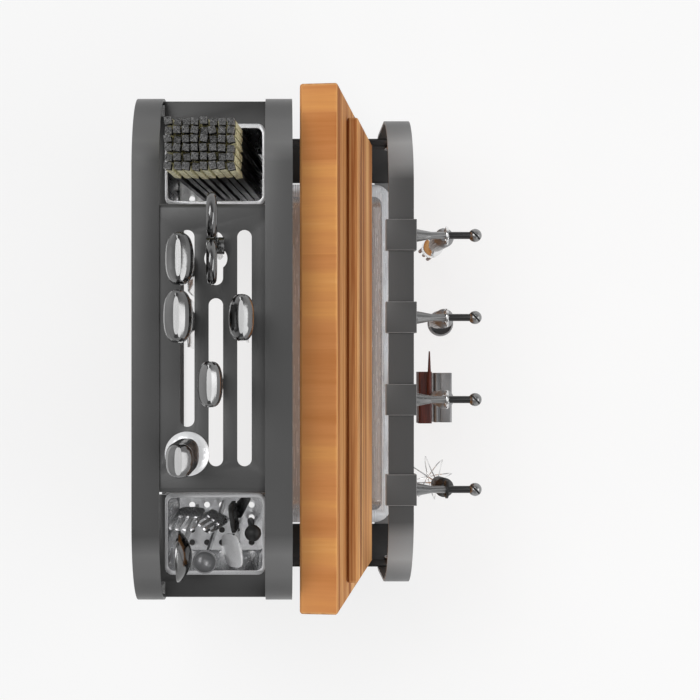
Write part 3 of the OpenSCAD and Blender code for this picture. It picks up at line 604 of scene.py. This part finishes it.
def chopstick(shape, centre, foot, top, turn):
    """One square stick: a black body, a leafed band, a black neck and a chased cap with a hollow top."""
    collar = top - CAP_H - COLLAR_H
    levels = ((foot, STICK_TIP), (collar - LEAF_H, STICK_SIDE - 0.5), (collar - LEAF_H + 1, STICK_SIDE),
              (collar, STICK_SIDE - 0.1), (collar + 0.3, STICK_SIDE - NECK_INSET),
              (top - CAP_H, STICK_SIDE - NECK_INSET), (top - CAP_H + 0.3, STICK_SIDE), (top, STICK_SIDE))
    paints = (LACQUER_PAINT, LEAF_PAINT, LEAF_PAINT, LACQUER_PAINT, LACQUER_PAINT, CAP_PAINT, CAP_PAINT)
    corners = shape.skin([square(centre, side, z, turn) for z, side in levels], paints)
    rim = [shape.points[k] for k in corners]
    sag = Vector((0, 0, CAP_HOLLOW))
    middle = sum(rim, Vector()) / 4 - sag * 0.35
    hollows = shape.ring([(rim[k] + rim[(k + 1) % 4]) / 2 * 0.7 + middle * 0.3 - sag for k in range(4)])
    centre_point = shape.ring([middle])[0]
    for k in range(4):
        shape.face((corners[k], corners[(k + 1) % 4], hollows[k]), CAP_PAINT)
        shape.face((corners[k], hollows[k], centre_point), CAP_PAINT)
        shape.face((corners[k], centre_point, hollows[k - 1]), CAP_PAINT)


def chopstick_bundle():
    """Columns and rows of sticks that lean to the rear, each a little turned and pushed down."""
    dice = random.Random(5)
    low, high = extent("chopsticks")
    shape = Shape()
    length = (high.z - low.z) / math.cos(STICK_LEAN)
    for i in range(STICK_COLUMNS):
        for j in range(STICK_ROWS):
            cell = Vector(((i + 0.5) * STICK_STEP - STICK_SHIFT, (j + 0.5) * STICK_STEP - STICK_SHIFT))
            cell += Vector([dice.uniform(-STICK_WANDER, STICK_WANDER) for axis in range(2)])
            foot = (cell.y + STICK_STEP / 2) * math.tan(STICK_LEAN)
            top = foot + length - TOP_ROOM - dice.choice(STICK_DROPS)
            chopstick(shape, cell, foot, top, math.radians(dice.uniform(-STICK_TWIST, STICK_TWIST)))
    lean = Vector((0, math.sin(STICK_LEAN), math.cos(STICK_LEAN)))
    back = Vector((0, math.cos(STICK_LEAN), -math.sin(STICK_LEAN)))
    shape.points = [low + Vector((point.x, 0, 0)) + back * point.y + lean * point.z
                    for point in shape.points]
    piece = shape.build("chopstick_bundle", (FINISHES["lacquer"], LEAF, CAP_METAL), 12)
    body_and_slot(piece, "chopsticks")


chopstick_bundle()

# ---------- Boards ----------

dressed("cutting_board", edge=4.0, segments=6)
dressed("thin_board", edge=2.0, segments=4)

# ---------- Knives, scissors and honing steel ----------

# Shares of a knife handle's height, width and depth, from its foot to its butt
HANDLE_SECTIONS = (
    (0.0, 0.51, 0.64), (0.03, 0.53, 0.67), (0.2, 0.56, 0.72), (0.35, 0.62, 0.78), (0.55, 0.78, 0.87),
    (0.75, 0.94, 0.96), (0.86, 1.0, 1.0), (0.92, 0.985, 0.95), (0.955, 0.96, 0.84), (0.978, 0.92, 0.6),
    (0.992, 0.84, 0.36), (1.0, 0.7, 0.2))


def knife_handle(index):
    """Forged handle: it swells to a barrel-like butt, with a painted highlight on the flat strip along its
    crown.
    """
    node = "knife_%d_handle" % index
    low, high = extent(node)
    centre = (low + high) / 2
    size = high - low
    shape = Shape()
    shape.handle([oval(centre, low.z + share * size.z, wide * size.x, deep * size.y)
                  for share, wide, deep in HANDLE_SECTIONS])
    piece = shape.build("knife_%d_grip" % index, (PAINTED_SHADE_STEEL, CROWN_HIGHLIGHT_STEEL), 14)
    body_and_slot(piece, node)


for number in range(1, 5):
    dressed("knife_%d_blade" % number)
    knife_handle(number)
for name in ("scissors_left_half", "scissors_right_half", "scissors_pivot"):
    dressed(name, PAINTED_SHADE_STEEL, segments=3)
dressed("steel_rod", segments=3)
dressed("steel_guard", PALE_PAINTED_REFLECTION_STEEL, segments=3)

RIBS = 12
RIBS_FROM, RIBS_TO = 0.1, 0.86    # shares of the grip's height
RIB_GROOVES = ((0.05, 1.6), (0.25, 0.4), (0.5, 0.0), (0.75, 0.4), (0.95, 1.6))
GRIP_FOOT_INSET = (8, 6)
# Shares of the honing steel grip's height, width and depth, above its ribs
BUTT_SECTIONS = ((0.88, 0.98, 0.97), (0.93, 0.96, 0.9), (0.965, 0.92, 0.74), (0.985, 0.86, 0.5),
                 (1.0, 0.78, 0.26))


def steel_grip():
    """Oval grip of rounded ribs with a barrel-like butt."""
    low, high = extent("steel_grip")
    centre = (low + high) / 2
    size = high - low
    rings = [oval(centre, low.z, size.x - GRIP_FOOT_INSET[0], size.y - GRIP_FOOT_INSET[1])]
    start, end = low.z + size.z * RIBS_FROM, low.z + size.z * RIBS_TO
    pitch = (end - start) / RIBS
    for rib in range(RIBS):
        z = start + (end - start) * rib / RIBS
        for share, groove in RIB_GROOVES:
            rings.append(oval(centre, z + pitch * share, size.x - groove, size.y - groove))
    for share, wide, deep in BUTT_SECTIONS:
        rings.append(oval(centre, low.z + size.z * share, wide * size.x, deep * size.y))
    shape = Shape()
    shape.handle(rings)
    # The grip's top face takes the painted highlight.
    piece = shape.build("honing_steel_grip", (PAINTED_SHADE_STEEL, CROWN_HIGHLIGHT_STEEL), 24)
    body_and_slot(piece, "steel_grip")


steel_grip()

# ---------- Cutlery ----------

def cranked(node, share, slope):
    """The node's own shape with its head bent sideways, by slope, above a share of its height."""
    low, high = extent(node)
    fold = low.z + share * (high.z - low.z)
    lean = math.sqrt(1 + slope[0] ** 2 + slope[1] ** 2)
    piece = dressed(node, FORK_STEEL)
    cut_across(piece, (0, 0, 1), fold)
    for vertex in piece.data.vertices:
        above = max(vertex.co.z - fold * MM, 0.0)
        rise = above / lean
        vertex.co += Vector((slope[0] * rise, slope[1] * rise, rise - above))
    smooth(piece.data)


cranked("table_fork", 0.7, (-0.5, 0.06))
cranked("dessert_fork", 0.72, (-0.3, 0.25))
dressed("serving_spoon", PAINTED_SHADE_STEEL)
for name in ("peeler", "bulb_brush"):
    dressed(name)
cup = dressed("small_ladle")
# Painted shade inside the cup, on its upward faces.
repaint(cup, DULL_AND_SHADED_STEEL, lambda centre, normal: normal.z > 0.2)
server = dressed("cake_server")
# The server's upward faces take the painted reflection.
repaint(server, PALE_PAINTED_REFLECTION_STEEL, lambda centre, normal: normal.z > 0.3)

# ---------- Hooks and hanging tools ----------

BALL_R = 5.5
ROOT_L = 27              # of the arm's bright root
SLOT_HALF = 0.8          # half the width of the ball's slot
EYE_H = 18               # of the bright eye at the top of a tool


def hook_arm(number):
    """Arm with a bright root, a dark bar and a bright ball. In the picture the ball's dark slot runs down
    to the right, so the arm's shape is mirrored left to right."""
    node = "hook_arm_%d" % number
    low, high = extent(node)
    middle = (low + high) / 2
    ball = Vector((middle.x, low.y + BALL_R, middle.z))
    across = Vector((1, -1, 0)).normalized()
    bar_from, bar_to = low.y + 2 * BALL_R - 1, high.y - ROOT_L
    piece = dressed(node, GUN_METAL, edge=0.2)
    for vertex in piece.data.vertices:
        vertex.co.x = 2 * middle.x * MM - vertex.co.x
    piece.data.flip_normals()
    cut_across(piece, (0, 1, 0), bar_to)
    repaint(piece, ARM_COAT, lambda centre, normal: bar_from < centre.y < bar_to)
    # The ball's slot is painted dark as painted shade.
    repaint(piece, PAINTED_SHADE_COAT, lambda centre, normal: centre.y < ball.y + BALL_R and centre.z > ball.z + 2
            and abs((centre - ball).dot(across)) < SLOT_HALF)


for number in range(1, 5):
    dressed("hook_clip_%d" % number, edge=0.5, segments=3, edge_highlight=True)
    hook_arm(number)
dressed("whisk_wires", edge=0.2)
for name in ("brush_handle", "brush_ferrule", "ladle", "scraper_blade"):
    tool = dressed(name, DULL_AND_SHADED_STEEL, edge=0.2)
    eye_z = extent(name)[1].z - EYE_H
    repaint(tool, FINISHES["stainless"], lambda centre, normal: centre.z > eye_z)
for name in ("brush_bristles", "scraper_grip", "whisk_grip"):
    dressed(name)

# ---------- Room: floor, light and camera ----------

FLOOR_REACH = 6.0
FLOOR_GLOW = 0.72        # share of plain white in what the camera and the steel see of the floor


def pale_floor():
    """Pale floor with faint shadows, which shows as pale to the camera and in the steel."""
    mesh = bpy.data.meshes.new("floor")
    corners = [(x * FLOOR_REACH, y * FLOOR_REACH, 0) for x, y in ((-1, -1), (1, -1), (1, 1), (-1, 1))]
    mesh.from_pydata(corners, [], [(0, 1, 2, 3)])
    finish = Finish("floor_paper", roughness=0.9, specular_ior_level=0.1)
    finish.colour(finish.ramp(finish.noise(finish.place(), 3, 3), (0.3, grey(236)), (0.7, grey(243))))
    glow = finish.add("Emission", {"Color": grey(254), "Strength": 1.0})
    path = finish.add("LightPath")
    seen = finish.math("MAXIMUM", path.outputs["Is Camera Ray"], path.outputs["Is Glossy Ray"])
    mixed = finish.add("MixShader", {0: finish.math("MULTIPLY", seen, FLOOR_GLOW),
                                     1: finish.bsdf.outputs[0], 2: glow.outputs[0]})
    finish.tree.links.new(mixed.outputs[0], finish.tree.nodes["Material Output"].inputs["Surface"])
    mesh.materials.append(finish.material)
    floor = new_object("floor", mesh)


# Level of the surroundings against the sine of the height above the horizon
SKY = ((0.0, 0.85), (0.25, 0.95), (0.5, 0.5), (0.72, 0.25), (0.9, 0.3), (0.965, 1.0), (1.0, 1.0))


def studio_world():
    """Pale surroundings with a bright top, a darker ring below it and a bright horizon, which show as
    plain white to the camera."""
    world = bpy.data.worlds.new("studio")
    bpy.context.scene.world = world
    world.use_nodes = True
    tree = world.node_tree
    background = tree.nodes["Background"]
    coordinates = tree.nodes.new("ShaderNodeTexCoord")
    split = tree.nodes.new("ShaderNodeSeparateXYZ")
    ramp = tree.nodes.new("ShaderNodeValToRGB")
    tree.links.new(coordinates.outputs["Generated"], split.inputs[0])
    tree.links.new(split.outputs["Z"], ramp.inputs["Fac"])
    fill_ramp(ramp, [(position, (level, level, level, 1)) for position, level in SKY])
    path = tree.nodes.new("ShaderNodeLightPath")
    white = tree.nodes.new("ShaderNodeBackground")
    white.inputs["Color"].default_value = grey(250)
    mix = tree.nodes.new("ShaderNodeMixShader")
    tree.links.new(ramp.outputs["Color"], background.inputs["Color"])
    tree.links.new(path.outputs["Is Camera Ray"], mix.inputs[0])
    tree.links.new(background.outputs[0], mix.inputs[1])
    tree.links.new(white.outputs[0], mix.inputs[2])
    tree.links.new(mix.outputs[0], tree.nodes["World Output"].inputs["Surface"])


def soft_lamp(name, place, aim, size, power):
    """Rectangular lamp of a size in metres and a power in watts, turned from its place to its aim."""
    lamp = bpy.data.lights.new(name, "AREA")
    lamp.shape = "RECTANGLE"
    lamp.size, lamp.size_y = size
    lamp.energy = power
    holder = new_object(name, lamp)
    holder.location = place
    holder.rotation_euler = (Vector(aim) - Vector(place)).to_track_quat("-Z", "Y").to_euler()


def overhead_camera():
    """Straight down onto the rack, with its length up the picture and its front at the right, from the
    place that the sizes of the high and low loops in the photograph give."""
    lens = bpy.data.cameras.new("camera")
    lens.sensor_width = 36
    lens.lens = 77.14
    lens.shift_x = 0.1
    lens.shift_y = 0.0357
    holder = new_object("camera", lens)
    holder.location = (-0.0205, 0.0276, 1.4394)
    holder.rotation_euler = (0, 0, math.radians(-90))
    bpy.context.scene.camera = holder


pale_floor()
studio_world()
soft_lamp("key_softbox", (0.5, 0.7, 1.7), (0, 0, 0.2), (1.2, 0.8), 13)
soft_lamp("front_softbox", (-0.4, -1.1, 1.1), (0, 0, 0.15), (1.4, 0.5), 8)
overhead_camera()
bpy.context.scene.view_settings.view_transform = "Standard"
